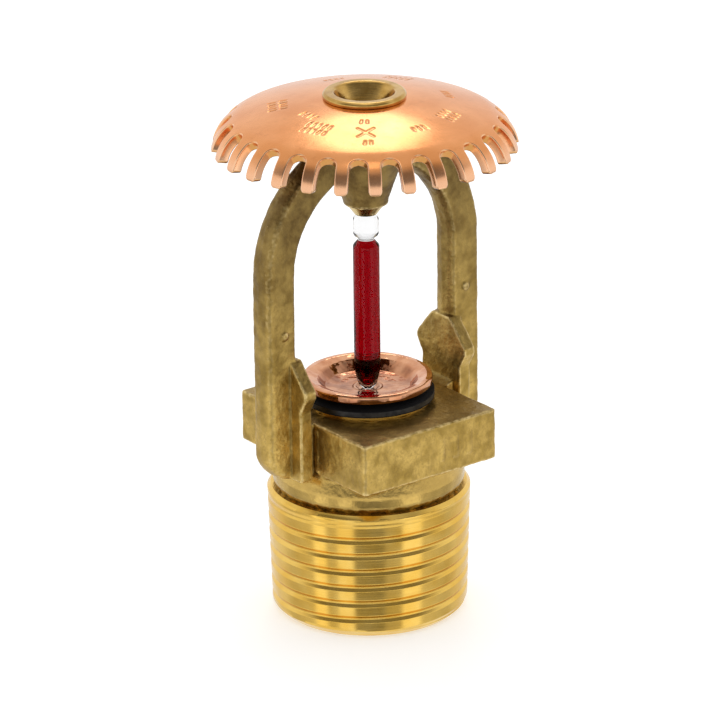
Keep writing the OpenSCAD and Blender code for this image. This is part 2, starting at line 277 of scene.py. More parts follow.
def joined(name, parts):
    """One mesh object from several (vertices, faces) pairs."""
    vertices, faces = [], []
    for part_vertices, part_faces in parts:
        start = len(vertices)
        vertices += [tuple(v) for v in part_vertices]
        faces += [tuple(i + start for i in f) for f in part_faces]
    mesh = bpy.data.meshes.new(name)
    mesh.from_pydata([tuple(v) for v in np.array(vertices) * MM], [], faces)
    piece = bpy.data.objects.new(name, mesh)
    bpy.context.scene.collection.objects.link(piece)
    return piece


def outward(piece, weld=False):
    """Points all normals out of a closed mesh. With weld it first merges vertices in the same place."""
    work = bmesh.new()
    work.from_mesh(piece.data)
    if weld:
        bmesh.ops.remove_doubles(work, verts=work.verts, dist=WELD_DISTANCE)
    bmesh.ops.recalc_face_normals(work, faces=work.faces)
    work.to_mesh(piece.data)
    work.free()


def vertex_rows(mesh):
    """Places and normals of a mesh's vertices, as rows of three numbers, in metres."""
    places, normals = np.empty(len(mesh.vertices) * 3), np.empty(len(mesh.vertices) * 3)
    mesh.vertices.foreach_get("co", places)
    mesh.vertices.foreach_get("normal", normals)
    return places.reshape(-1, 3), normals.reshape(-1, 3)


def store_curvature(piece, passes):
    """Stores each vertex's curvature, in 1/mm and above 0 where convex, as the attribute "curve"."""
    mesh = piece.data
    count = len(mesh.vertices)
    places, normals = vertex_rows(mesh)
    places = places / MM
    ends = np.empty(len(mesh.edges) * 2, dtype=np.int32)
    mesh.edges.foreach_get("vertices", ends)
    ends = ends.reshape(-1, 2)
    start, end = np.concatenate([ends, ends[:, ::-1]]).T
    along = places[end] - places[start]
    squared = np.maximum((along ** 2).sum(1), 1e-6)
    bend = -2 * (normals[start] * along).sum(1) / squared
    number = np.maximum(np.bincount(start, minlength=count), 1)
    curve = np.bincount(start, bend, count) / number
    for _ in range(passes):
        curve = 0.5 * curve + 0.5 * np.bincount(start, curve[end], count) / number
    layer = mesh.attributes.new("curve", "FLOAT", "POINT")
    layer.data.foreach_set("value", curve.astype(np.float32))


def apply_modifiers(piece):
    """Replaces the mesh of a piece by what its modifiers make of it."""
    depsgraph = bpy.context.evaluated_depsgraph_get()
    mesh = bpy.data.meshes.new_from_object(piece.evaluated_get(depsgraph))
    piece.modifiers.clear()
    piece.data = mesh


def mirrored(part):
    """The same part on the other arm."""
    vertices, faces = part
    return [(-x, y, z) for x, y, z in vertices], [f[::-1] for f in faces]


# ---------------------------------------------------------------- materials

class Shader:
    """A material's node tree, with short calls for the nodes used here."""

    def __init__(self, name, **inputs):
        self.material = bpy.data.materials.new(name)
        self.material.use_nodes = True
        self.tree = self.material.node_tree
        self.bsdf = self.tree.nodes["Principled BSDF"]
        for key, value in inputs.items():
            self.bsdf.inputs[key.replace("_", " ")].default_value = value
        coordinates = self.tree.nodes.new("ShaderNodeTexCoord")
        self.position = self.scaled(coordinates.outputs["Object"], (1 / MM,) * 3)

    def link(self, source, target):
        self.tree.links.new(source, target)

    def feed(self, socket, value):
        """Links an output to an input, or sets a plain value."""
        if isinstance(value, bpy.types.NodeSocket):
            self.link(value, socket)
        else:
            socket.default_value = value

    def scaled(self, vector, scale):
        mapping = self.tree.nodes.new("ShaderNodeMapping")
        self.link(vector, mapping.inputs["Vector"])
        mapping.inputs["Scale"].default_value = scale
        return mapping.outputs["Vector"]

    def noise(self, scale, detail=3.0, rough=0.55, vector=None):
        """Smooth noise of a scale in 1/mm, with values round 0.5."""
        node = self.tree.nodes.new("ShaderNodeTexNoise")
        self.link(vector or self.position, node.inputs["Vector"])
        node.inputs["Scale"].default_value = scale
        node.inputs["Detail"].default_value = detail
        node.inputs["Roughness"].default_value = rough
        return node.outputs["Fac"]

    def spread(self, value, low, high, to_low=0.0, to_high=1.0):
        """Maps low to to_low and high to to_high, and holds the value between them."""
        node = self.tree.nodes.new("ShaderNodeMapRange")
        self.feed(node.inputs["Value"], value)
        for key, number in zip(("From Min", "From Max", "To Min", "To Max"), (low, high, to_low, to_high)):
            node.inputs[key].default_value = number
        return node.outputs["Result"]

    def mix(self, factor, first, second):
        node = self.tree.nodes.new("ShaderNodeMix")
        node.data_type = "RGBA"
        self.feed(node.inputs["Factor"], factor)
        for socket, value in ((node.inputs[6], first), (node.inputs[7], second)):
            self.feed(socket, value)
        return node.outputs[2]

    def math(self, operation, first, second=0.0):
        node = self.tree.nodes.new("ShaderNodeMath")
        node.operation = operation
        self.feed(node.inputs[0], first)
        self.feed(node.inputs[1], second)
        return node.outputs[0]

    def times(self, first, second):
        return self.math("MULTIPLY", first, second)

    def curve(self, low, high):
        """0 up to curvature low, rising to 1 at curvature high, in 1/mm."""
        node = self.tree.nodes.new("ShaderNodeAttribute")
        node.attribute_name = "curve"
        return self.spread(node.outputs["Fac"], low, high)

    def facing_up(self, low, high):
        """0 on walls, rising to 1 on faces that look up."""
        geometry = self.tree.nodes.new("ShaderNodeNewGeometry")
        split = self.tree.nodes.new("ShaderNodeSeparateXYZ")
        self.link(geometry.outputs["Normal"], split.inputs[0])
        return self.spread(split.outputs["Z"], low, high)

    def height(self, low, high):
        """0 below height low, rising to 1 at height high, in millimetres."""
        split = self.tree.nodes.new("ShaderNodeSeparateXYZ")
        self.link(self.position, split.inputs[0])
        return self.spread(split.outputs["Z"], low, high)

    def turned(self, anisotropy):
        """Highlights that spread along the axis, as on metal turned on a lathe."""
        tangent = self.tree.nodes.new("ShaderNodeTangent")
        tangent.direction_type = "RADIAL"
        tangent.axis = "Z"
        self.set(Anisotropic=anisotropy, Anisotropic_Rotation=0.25, Tangent=tangent.outputs["Tangent"])

    def bump(self, height, strength, distance_mm):
        node = self.tree.nodes.new("ShaderNodeBump")
        node.inputs["Strength"].default_value = strength
        node.inputs["Distance"].default_value = distance_mm * MM
        self.feed(node.inputs["Height"], height)
        return node.outputs["Normal"]

    def set(self, **values):
        for key, value in values.items():
            self.feed(self.bsdf.inputs[key.replace("_", " ")], value)
        return self.material


def cast_brass():
    """Olive-gold sand-cast brass with random tone, wear from rubbing and a painted highlight on convex
    edges, grime and painted shade in concave places, darker high up from patina and painted shade under the
    deflector, and darker on up-facing ledges from oxide and a painted dark reflection.
    """
    s = Shader("cast_brass", Metallic=0.94)
    patches = s.spread(s.noise(0.45, 5.0, 0.65), 0.40, 0.60)
    grain = s.noise(3.6, 4.0, 0.62)
    base = s.mix(patches, (0.46, 0.30, 0.068, 1), (0.76, 0.52, 0.145, 1))
    base = s.mix(s.spread(grain, 0.45, 0.70, 0.0, 0.45), base, (0.24, 0.145, 0.038, 1))
    # Higher up the casting turns darker: patina, and painted shade where the deflector shades the arms.
    patina_and_shade = s.mix(patches, (0.17, 0.105, 0.032, 1), (0.30, 0.20, 0.062, 1))
    base = s.mix(s.height(22.0, 46.0), base, patina_and_shade)
    # Up-facing ledges below 30 mm are darkened: oxide, and a painted dark reflection of the deflector
    # overhead.
    oxide_and_dark_reflection = s.times(s.facing_up(0.3, 0.8), s.height(31.0, 30.0))
    base = s.mix(s.times(oxide_and_dark_reflection, 0.60), base, (0.16, 0.10, 0.034, 1))
    neck = s.height(17.4, 17.0)
    # Concave places are darkened: grime, and painted shade where less light reaches. This is weaker on the
    # neck.
    grime_and_hollow_shade = s.times(s.curve(-0.7, -2.2), s.spread(neck, 0.0, 1.0, 0.8, 0.25))
    base = s.mix(grime_and_hollow_shade, base, (0.10, 0.058, 0.018, 1))
    base = s.mix(s.times(neck, 0.6), base, (0.63, 0.42, 0.12, 1))
    # Convex edges are lightened: wear from rubbing, and a painted highlight.
    wear_and_edge_highlight = s.times(s.curve(0.5, 1.9), s.spread(s.noise(1.6, 3.0), 0.35, 0.6))
    base = s.mix(s.times(wear_and_edge_highlight, 0.75), base, (0.92, 0.71, 0.33, 1))
    seam = s.times(s.height(14.9, 14.2), s.spread(s.noise(1.3, 3.0), 0.3, 0.5, 0.4, 1.0))
    base = s.mix(s.times(seam, 0.9), base, (0.07, 0.045, 0.015, 1))
    height = s.math("ADD", s.times(s.noise(1.5, 3.0, 0.55), 1.6), s.times(grain, 0.45))
    height = s.times(height, s.math("SUBTRACT", 1.0, s.times(neck, 0.6)))
    rough = s.math("SUBTRACT", s.spread(grain, 0.3, 0.7, 0.36, 0.48), s.times(neck, 0.22))
    return s.set(Base_Color=base, Roughness=rough, Normal=s.bump(height, 0.5, 0.10))


def machined_brass():
    """Bright turned brass with fine tool lines round the axis."""
    s = Shader("machined_brass", Metallic=1.0)
    rings = s.noise(1.0, 3.0, 0.6, s.scaled(s.position, (0.12, 0.12, 9.0)))
    base = s.mix(s.spread(s.noise(0.35, 3.0), 0.35, 0.65), (0.80, 0.485, 0.085, 1), (0.86, 0.565, 0.135, 1))
    s.turned(0.75)
    return s.set(Base_Color=base, Roughness=s.spread(rings, 0.35, 0.65, 0.13, 0.24),
                 Normal=s.bump(rings, 0.25, 0.015))


def polished_brass():
    """Pale polished brass of the flared nose."""
    s = Shader("polished_brass", Metallic=1.0)
    rings = s.noise(1.0, 2.0, 0.5, s.scaled(s.position, (0.3, 0.3, 12.0)))
    base = s.mix(s.spread(s.noise(0.6, 3.0), 0.35, 0.65), (0.47, 0.265, 0.06, 1), (0.64, 0.40, 0.12, 1))
    s.turned(0.4)
    return s.set(Base_Color=base, Roughness=s.spread(rings, 0.35, 0.65, 0.12, 0.24),
                 Normal=s.bump(rings, 0.2, 0.015))


def deflector_copper():
    """Satin salmon copper sheet with faint streaks, with painted highlights on its convex edges and at the
    lower ends of the tines, painted shade in its creases, and painted shade on its faces that look down.
    """
    s = Shader("deflector_copper", Metallic=1.0)
    cloud = s.spread(s.noise(0.16, 4.0), 0.36, 0.64)
    fine = s.noise(6.0, 3.0, 0.6)
    base = s.mix(cloud, (0.76, 0.29, 0.092, 1), (0.87, 0.375, 0.145, 1))
    base = s.mix(s.spread(s.noise(0.9, 4.0, 0.7), 0.56, 0.72, 0.0, 0.35), base, (0.60, 0.22, 0.07, 1))
    # Painted highlight on convex edges.
    base = s.mix(s.times(s.curve(0.8, 3.0), 0.6), base, (1.0, 0.66, 0.40, 1))
    # Painted shade in creases.
    base = s.mix(s.curve(-0.6, -2.5), base, (0.50, 0.18, 0.05, 1))
    # Painted highlight at the lower ends of the tines.
    tip_highlight = s.height(DEFLECTOR_LOW[2] + 2.6, DEFLECTOR_LOW[2] + 0.8)
    base = s.mix(s.times(tip_highlight, 0.65), base, (1.0, 0.62, 0.40, 1))
    # Painted shade on faces that look slightly down.
    base = s.mix(s.times(s.facing_up(-0.1, -0.35), 0.7), base, (0.62, 0.33, 0.09, 1))
    # Painted shade on the underside.
    base = s.mix(s.facing_up(-0.6, -0.8), base, (0.14, 0.065, 0.022, 1))
    return s.set(Base_Color=base, Roughness=s.spread(fine, 0.3, 0.7, 0.15, 0.23),
                 Normal=s.bump(fine, 0.1, 0.015))


def cap_copper():
    """Polished rosy copper with a painted dark reflection in patches low in its bowl, slightly uneven."""
    s = Shader("cap_copper", Metallic=1.0)
    rings = s.noise(1.0, 3.0, 0.5, s.scaled(s.position, (0.5, 0.5, 5.0)))
    base = s.mix(s.spread(s.noise(0.5, 3.0), 0.35, 0.65), (0.60, 0.25, 0.12, 1), (0.80, 0.41, 0.23, 1))
    # Painted dark reflection, in patches, low in the cap's bowl.
    dish_dark_reflection = s.times(s.height(25.6, 25.3), s.spread(s.noise(0.55, 2.0, 0.4), 0.40, 0.60, 0.25, 1.0))
    base = s.mix(s.times(dish_dark_reflection, 0.85), base, (0.30, 0.115, 0.06, 1))
    return s.set(Base_Color=base, Roughness=s.spread(rings, 0.3, 0.7, 0.06, 0.11),
                 Normal=s.bump(s.noise(0.55, 2.0), 0.5, 0.25))


def plain_metal(name, dark, light, rough_low, rough_high):
    """A turned or pressed small metal part."""
    s = Shader(name, Metallic=1.0)
    grain = s.noise(6.0, 3.0, 0.6)
    return s.set(Base_Color=s.mix(s.spread(s.noise(1.2, 2.0), 0.35, 0.65), dark, light),
                 Roughness=s.spread(grain, 0.3, 0.7, rough_low, rough_high),
                 Normal=s.bump(grain, 0.15, 0.015))


def seal_tape():
    """Fluoropolymer film, coloured near black."""
    s = Shader("seal_tape", Specular_IOR_Level=0.15)
    grain = s.noise(5.0, 3.0, 0.6)
    return s.set(Base_Color=s.mix(grain, (0.004, 0.004, 0.005, 1), (0.012, 0.012, 0.013, 1)),
                 Roughness=s.spread(grain, 0.3, 0.7, 0.6, 0.75), Normal=s.bump(grain, 0.2, 0.02))


def bulb_glass():
    """Clear glass with a faint smear."""
    s = Shader("bulb_glass", Transmission_Weight=1.0, IOR=1.25)
    smear = s.noise(0.8, 2.0)
    return s.set(Base_Color=s.mix(smear, (0.80, 0.80, 0.80, 1), (0.86, 0.86, 0.86, 1)),
                 Roughness=s.spread(smear, 0.3, 0.7, 0.0, 0.03))


def bulb_liquid():
    """Dyed liquid. Its index is relative to the glass around it."""
    s = Shader("bulb_liquid", Transmission_Weight=1.0, IOR=1.03)
    depth = s.noise(0.4, 2.0)
    return s.set(Base_Color=s.mix(depth, (0.22, 0.0, 0.001, 1), (0.26, 0.0, 0.004, 1)),
                 Roughness=s.spread(depth, 0.3, 0.7, 0.0, 0.03))


# ---------------------------------------------------------------- frame

def thread_radius(z, phase):
    """Radius of the pipe thread at heights z, where a whole phase is a crest."""
    off_crest = np.abs(phase - np.round(phase)) * THREAD_PITCH
    slope = THREAD_DEPTH / (THREAD_PITCH / 2 - CREST_FLAT - ROOT_FLAT)
    depth = np.clip((off_crest - CREST_FLAT) * slope, 0, THREAD_DEPTH)
    run_out = np.clip((z - RUN_OUT_Z) / (SHOULDER_Z - RUN_OUT_Z), 0, 1)
    radius = THREAD_CREST_R + THREAD_TAPER * z - depth * (1 - run_out)
    return np.minimum(radius - np.maximum(z - SHOULDER_Z, 0), INLET_R + z)


def make_machined_body(material):
    """Threaded nipple with a true helix, waterway and seat lip, as one turned shell.

    Its rows follow the helix, so that crests and roots stay sharp, and are cut off at both ends."""
    facing = math.radians(CAMERA_AZ) - math.pi / 2
    turn = np.linspace(-0.5, 0.5, THREAD_STEPS + 1)
    angle = facing + 2 * math.pi * turn
    flank_low, flank_high = CREST_FLAT / THREAD_PITCH, 0.5 - ROOT_FLAT / THREAD_PITCH
    steps_up = [0, flank_low * 0.5, flank_low - 0.02, flank_low, flank_low + 0.02]
    steps_up += list(np.linspace(flank_low, flank_high, 6)[1:-1]) + [flank_high, 0.5]
    one_turn = sorted(steps_up + [1 - p for p in steps_up[1:-1]])
    turns = range(-2, 9)            # from below the inlet face to above the thread
    phases = [k + p for k in turns for p in one_turn]
    rings = []
    for phase in phases:
        z = np.clip(FIRST_CREST_Z + THREAD_PITCH * (phase + turn), 0, THREAD_TOP_Z)
        r = thread_radius(z, (z - FIRST_CREST_Z) / THREAD_PITCH - turn)
        rings.append(np.stack([r * np.cos(angle), r * np.sin(angle), z], 1))
    inside = rounded([
        (HIDDEN_R, THREAD_TOP_Z, 0), (HIDDEN_R, SEAT_TOP_Z - 1.3, 0), (SEAT_OUTER_R, SEAT_TOP_Z - 1.2, 0),
        (SEAT_OUTER_R, SEAT_TOP_Z, 0.15), (WATERWAY_R, SEAT_TOP_Z, 0.12), (WATERWAY_R, INLET_CONE_Z, 0.3),
        (INLET_MOUTH_R, 0, 0.25)], steps=3)
    for r, z in inside:
        rings.append(np.stack([r * np.cos(angle), r * np.sin(angle), np.full(THREAD_STEPS + 1, z)], 1))
    faces = grid_faces(len(rings), THREAD_STEPS + 1, close_rows=True)
    piece = add_piece("frame_thread", np.concatenate(rings), faces, "frame", "cast_brass", material)
    outward(piece, weld=True)
    sharpen(piece, 38)


def arm_section():
    """Section of an arm: u runs outwards from the centre of the arch's circle, and y across the arm."""
    inner, outer, half = ARCH_INNER_R, ARCH_OUTER_R, WEB_HALF
    corners = rounded([
        (inner - 0.05, 0, 0), (inner + 0.1, half * 0.55, 0.6), (inner + 0.45, half, 0.6),
        (outer - 0.15, half + 0.04, 1.25), (outer, 0, 0)], steps=8)
    return [tuple(c) for c in corners] + [(u, -y) for u, y in corners[::-1] if y > 0.001]


def arm_stations():
    """Places of the arm's section: round the foot, up the leg and along the arch to the top."""
    stations = []
    foot_x = ARCH_OUTER_R - FOOT_R
    foot_z = FOOT_LOW_Z + FOOT_R
    for k in range(FOOT_STEPS):
        a = math.radians(-90 + 90 * k / FOOT_STEPS)
        dx, dz = math.cos(a), math.sin(a)
        stations.append((foot_x - foot_x * dx, foot_z - foot_x * dz, dx, dz))
    for z in np.linspace(foot_z, ARCH_Z, LEG_STEPS, endpoint=False):
        stations.append((0.0, z, 1.0, 0.0))
    for k in range(ARCH_STEPS + 1):
        a = math.radians(ARCH_END * k / ARCH_STEPS)
        stations.append((0.0, ARCH_Z, math.cos(a), math.sin(a)))
    return stations


def ring_plate(outline, hole_r, low_z, high_z):
    """A plate with a round hole, from an outline of the same number of (x, y) points round the axis."""
    count = len(outline)
    hole = [(hole_r * x / math.hypot(x, y), hole_r * y / math.hypot(x, y)) for x, y in outline]
    vertices = []
    for points, z in ((outline, low_z), (outline, high_z), (hole, high_z), (hole, low_z)):
        vertices += [(x, y, z) for x, y in points]
    return vertices, grid_faces(4, count, close_rows=True, close_columns=True)


def boss_outline():
    """The wrench boss seen from above, a rectangle with small round corners."""
    x, y = BOSS_X / 2, BOSS_Y / 2
    round_r = 0.6
    return rounded([
        (x, 0, 0), (x, y, round_r), (0, y, 0), (-x, y, round_r),
        (-x, 0, 0), (-x, -y, round_r), (0, -y, 0), (x, -y, round_r)])


def wing_outline():
    """Outline of an arm's wing plate in Y and Z, with a lug at each side."""
    half = [
        (WING_HALF, WING_LOW_Z, 0.3), (WING_HALF, WING_NECK_Z, 0.8), (LUG_TIP_Y + 0.1, LUG_Z - 0.5, 0.6),
        (LUG_TIP_Y + 0.1, LUG_Z + 0.15, 0.6), (LUG_TOP_Y, LUG_TOP_Z, 0.3)]
    return rounded([(-y, z, r) for y, z, r in half] + half[::-1])


def witness_pips():
    """Small round marks left by the mould's pins, on the front and the back of each arm."""
    parts = []
    outline = rounded([(0, 0, 0), (PIP_R, 0, 0), (PIP_R, PIP_HEIGHT, 0.15), (0, 0.9, 0)])
    vertices, faces = lathe(outline, 24)
    for side in (1, -1):
        for face in (-1, 1):
            turned = [(side * PIP_X + x, face * (WEB_HALF - 0.55 + z), PIP_Z + y) for x, y, z in vertices]
            parts.append((turned, faces))
    return parts


def raised_bars():
    """Plain upright bars on the front and the back of the boss."""
    parts = []
    bar_top = BAR_LOW_Z + BAR_HEIGHT
    for x in BAR_PLACES:
        for face in (-1, 1):
            left, right = face * -x - BAR_HALF, face * -x + BAR_HALF
            bar = [(left, BAR_LOW_Z), (right, BAR_LOW_Z), (right, bar_top), (left, bar_top)]
            places = sorted((face * (BOSS_Y / 2 - 0.3), face * (BOSS_Y / 2 + 0.12)))
            parts.append(extrude_outline(bar, *places))
    return parts


def casting_parts():
    """Closed parts that overlap and are fused into the casting."""
    neck = lathe(rounded([
        (SEAT_HOLE_R, THREAD_TOP_Z - 0.3, 0), (NECK_R - 0.35, THREAD_TOP_Z - 0.3, 0.1),
        (NECK_R + 0.1, THREAD_TOP_Z + 0.7, 0.9), (NECK_R + 0.05, THREAD_TOP_Z + 1.7, 0.9),
        (NECK_R - 0.75, BOSS_LOW_Z - 0.1, 0.6), (BOSS_X / 2 - 0.3, BOSS_LOW_Z + 1.2, 0),
        (SEAT_HOLE_R, BOSS_LOW_Z + 1.2, 0)]), 128)
    boss = ring_plate(boss_outline(), SEAT_OUTER_R + 0.05, BOSS_LOW_Z, BOSS_TOP_Z)
    arm = sweep(arm_stations(), arm_section())
    wing = extrude_outline(wing_outline(), WING_INNER_X, WING_OUTER_X, "X")
    fill_inner, fill_outer, ridge_inner, ridge_outer = 8.3, WING_INNER_X + 0.9, 8.6, 8.95
    fill = extrude_outline(rounded([
        (fill_inner, FOOT_LOW_Z + 0.1, 0.2), (fill_outer, FOOT_LOW_Z + 0.1, 0.4),
        (fill_outer, BOSS_TOP_Z + 1.6, 0), (ARCH_INNER_R, BOSS_TOP_Z + 1.6, 0.3),
        (ARCH_INNER_R - 0.15, BOSS_TOP_Z + 0.3, 0.9), (fill_inner, BOSS_TOP_Z - 0.1, 0)]),
        -FOOT_FILL_HALF, FOOT_FILL_HALF)
    ridge = extrude_outline([
        (ridge_inner, BOSS_LOW_Z + 0.4), (ridge_outer, BOSS_LOW_Z + 0.4),
        (ridge_outer, BOSS_TOP_Z - 0.5), (ridge_inner, BOSS_TOP_Z - 0.2)], -2.8, -2.45)
    ridge_back = [(x, -y, z) for x, y, z in ridge[0]], ridge[1]
    knuckle = lathe(rounded([
        (SCREW_HOLE_R, KNUCKLE_LOW_Z, 0), (KNUCKLE_RIM_R - 0.1, KNUCKLE_LOW_Z, 0),
        (KNUCKLE_RIM_R, KNUCKLE_RIM_Z, 0.1), (KNUCKLE_TOP_R, KNUCKLE_TOP_Z, 0.8),
        (KNUCKLE_TOP_R, NOSE_SEAT_Z, 0.2), (NOSE_R - 0.3, NOSE_SEAT_Z, 0),
        (NOSE_R - 0.3, NOSE_LOW_Z + 0.3, 0), (SCREW_HOLE_R, NOSE_LOW_Z + 0.3, 0)]), 96)
    parts = [neck, boss, knuckle]
    for part in (arm, wing, fill, ridge, ridge_back):
        parts += [part, mirrored(part)]
    return parts + raised_bars() + witness_pips()


def roughen(piece):
    """Moves every vertex along its normal by noise, as on a sand casting.

    The neck is smoother than the rest, and its lower rim is ragged."""
    mesh = piece.data
    places, normals = vertex_rows(mesh)
    offsets = np.array([
        COARSE * noise.noise(Vector(p) * 0.9 / MM) + FINE * noise.noise(Vector(p) * 3.1 / MM)
        for p in places])
    ragged = np.array([noise.noise(Vector((p[0], p[1], 0)) * 1.6 / MM) for p in places])
    near_rim = np.clip((THREAD_TOP_Z + 0.7 - places[:, 2] / MM) / 0.7, 0, 1)
    on_neck = np.clip((BOSS_LOW_Z - 0.1 - places[:, 2] / MM) / 0.4, 0, 1)
    offsets *= 1 - 0.8 * on_neck
    places += normals * (offsets * MM)[:, None]
    places[:, 2] += RAGGED * ragged * near_rim * MM
    mesh.vertices.foreach_set("co", places.ravel())
    mesh.update()


def make_casting(material):
    """Arms, boss, neck and knuckle fused into one casting with soft inner corners."""
    piece = joined("frame_casting", casting_parts())
    outward(piece)
    remesh = piece.modifiers.new("fuse", "REMESH")
    remesh.mode = "VOXEL"
    remesh.voxel_size = VOXEL * MM
    smooth = piece.modifiers.new("soften", "SMOOTH")
    smooth.factor = 0.5
    smooth.iterations = 4
    apply_modifiers(piece)
    roughen(piece)
    store_curvature(piece, 3)
    finish_piece(piece, "frame", material)
    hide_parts("frame")


def make_nose(material):
    """Flared ring that clamps the deflector, with its conical mouth and the top of the screw's hole."""
    dome_z = CROWN_Z - DOME_R + math.sqrt(DOME_R ** 2 - FLANGE_R ** 2)
    outline = rounded([
        (SCREW_HOLE_R, NOSE_LOW_Z, 0), (NOSE_R - 0.1, NOSE_LOW_Z, 0), (NOSE_R - 0.1, dome_z + 0.05, 0),
        (FLANGE_R - 0.05, dome_z + 0.02, 0.1), (FLANGE_R, dome_z + 0.4, 0.3),
        (FLANGE_R - 0.25, FLANGE_TOP_Z, 0.3), (MOUTH_R + 0.1, FLANGE_TOP_Z, 0.35),
        (SCREW_HOLE_R, MOUTH_LOW_Z, 0.15)], steps=6)
    outward(add_piece("frame_nose", *lathe(outline, 192), "frame", "cast_brass", material, sharp=40))


# ---------------------------------------------------------------- deflector

def sheet_stations():
    """Stations along the outer face of the deflector's sheet, as rows of (s, r, z, normal r, normal z).

    s is the length along the sheet, counted from the root of the slots."""
    dome_end = math.asin((DEFLECTOR_HIGH[0] - BEND_R) / (DOME_R - BEND_R))
    centre_r = (DOME_R - BEND_R) * math.sin(dome_end)
    centre_z = CROWN_Z - DOME_R + (DOME_R - BEND_R) * math.cos(dome_end)
    hole = math.asin((NOSE_R + 0.02) / DOME_R)
    root = math.asin((SLOT_ROOT_R - centre_r) / BEND_R)
    root_s = BEND_R * (root - dome_end)
    end_s = BEND_R * (BEND_END - root)
    start_s = -root_s - DOME_R * (dome_end - hole)
    ease = [1 - math.cos(math.pi / 2 * k / 7) for k in range(8)]
    lengths = list(np.linspace(start_s, -EDGE_R, DOME_ROWS, endpoint=False))
    lengths += [-EDGE_R * (1 - e) for e in ease] + [SLOT_R * e for e in ease[1:]]
    lengths += list(np.linspace(SLOT_R, end_s - TIP_R, TINE_ROWS))[1:]
    lengths += [end_s - TIP_R * (1 - math.sin(math.pi / 2 * k / 8)) for k in range(1, 9)]
    rows = []
    for s in lengths:
        if s < -root_s:
            a, radius, mid_r, mid_z = dome_end + (s + root_s) / DOME_R, DOME_R, 0.0, CROWN_Z - DOME_R
        else:
            a, radius, mid_r, mid_z = root + s / BEND_R, BEND_R, centre_r, centre_z
        out, up = math.sin(a), math.cos(a)
        rows.append((s, mid_r + radius * out, mid_z + radius * up, out, up))
    return np.array(rows), end_s


def tine_half_width(s, r, end_s):
    """Half the width of a tine at length s from the slots' root, or of a whole sector on the dome."""
    half_sector = r * math.pi / TINE_COUNT
    if s <= 0:
        return half_sector
    gap = half_sector - TINE_W / 2
    if s < SLOT_R:
        gap = min(gap, math.sqrt(SLOT_R ** 2 - (SLOT_R - s) ** 2))
    half = half_sector - gap
    corner = max(0.0, TIP_R - (end_s - s))
    return half - TIP_CUT * (TIP_R - math.sqrt(TIP_R ** 2 - corner ** 2))


def stamped_marks():
    """Plain ticks and a cross on the dome, as rows of

    (angle, radius, tangential offset, radial offset, length, tilt)."""
    marks = []
    for angle, radius, count, rows in STAMP_GROUPS:
        for row in range(rows):
            for k in range(count):
                side = (k - (count - 1) / 2) * TICK_PITCH
                out = (row - (rows - 1) / 2) * ROW_PITCH
                marks.append((angle, radius, side, out, TICK, 8 * (k % 3 - 1)))
    for k in range(4):
        turn = 90 * k + 45
        a = math.radians(turn)
        marks.append((CROSS_ANGLE, CROSS_R, TICK * math.cos(a), TICK * math.sin(a), CROSS_ARM, turn))
    return marks


def stamp_depth(x, y):
    """Depth of the stamped marks at points of the dome, as seen from above."""
    depth = np.zeros(len(x))
    for angle, radius, side, out, length, tilt in stamped_marks():
        a = math.radians(angle)
        px, py = x - radius * math.cos(a), y - radius * math.sin(a)
        across = -px * math.sin(a) + py * math.cos(a) - side
        along = px * math.cos(a) + py * math.sin(a) - out
        t = math.radians(tilt)
        u = across * math.sin(t) + along * math.cos(t)
        v = across * math.cos(t) - along * math.sin(t)
        distance = np.hypot(v, np.maximum(np.abs(u) - length / 2, 0))
        depth = np.maximum(depth, STAMP_DEPTH * np.clip((STAMP_HALF - distance) / STAMP_WALL, 0, 1))
    return depth


def make_deflector(material):
    """Domed sheet whose tines are bent down, with rounded edges and stamped ticks, as one closed mesh."""
    rows, end_s = sheet_stations()
    lateral = np.sin(np.pi / 2 * np.linspace(-1, 1, TINE_COLUMNS))
    half = np.array([tine_half_width(s, r, end_s) for s, r, *_ in rows])
    s, r, z, normal_r, normal_z = (rows[:, k][:, None, None] for k in range(5))
    x = half[:, None, None] * lateral[None, None, :]
    slot_side = r * math.pi / TINE_COUNT - np.abs(x)
    to_round = np.hypot(SLOT_R - s, slot_side) - SLOT_R
    to_edge = np.where(s < SLOT_R, to_round, half[:, None, None] - np.abs(x))
    to_edge = np.clip(np.minimum(to_edge, end_s - s), 0, EDGE_R)
    sink = EDGE_R - np.sqrt(EDGE_R ** 2 - (EDGE_R - to_edge) ** 2)
    middle = (np.arange(TINE_COUNT) + 0.5)[None, :, None] * 2 * math.pi / TINE_COUNT + DEFLECTOR_TURN
    angle = middle + x / r
    layers = []
    for top in (True, False):
        depth = sink if top else SHEET_T - sink
        radius = r - normal_r * depth + 0 * angle
        height = z - normal_z * depth + 0 * angle
        places = np.stack([radius * np.cos(angle), radius * np.sin(angle), height], -1)
        if top:
            flat = places.reshape(-1, 3)
            flat[:, 2] -= stamp_depth(flat[:, 0], flat[:, 1])
        layers.append(places.reshape(-1, 3))
    count = len(rows) * TINE_COUNT * TINE_COLUMNS

    def quad(*corners):
        """A face from four (layer, row, column of the sector) places."""
        return tuple(n * count + (i * TINE_COUNT + sector) * TINE_COLUMNS + j for n, i, j in corners)

    root_row = int(np.argmin(np.abs(rows[:, 0])))
    faces = []
    last = len(rows) - 1
    for sector in range(TINE_COUNT):
        for i in range(last):
            for j in range(TINE_COLUMNS - 1):
                for n in (0, 1):
                    faces.append(quad((n, i, j), (n, i + 1, j), (n, i + 1, j + 1), (n, i, j + 1)))
            if i >= root_row:
                for j in (0, TINE_COLUMNS - 1):
                    faces.append(quad((0, i, j), (0, i + 1, j), (1, i + 1, j), (1, i, j)))
        for i in (0, last):
            for j in range(TINE_COLUMNS - 1):
                faces.append(quad((0, i, j), (0, i, j + 1), (1, i, j + 1), (1, i, j)))
    vertices = np.concatenate(layers)
    piece = add_piece("deflector_sheet", vertices, faces, "frame", "deflector_copper", material)
    outward(piece, weld=True)
    sharpen(piece, 50)
    store_curvature(piece, 1)
    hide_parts("deflector")


# ---------------------------------------------------------------- release parts

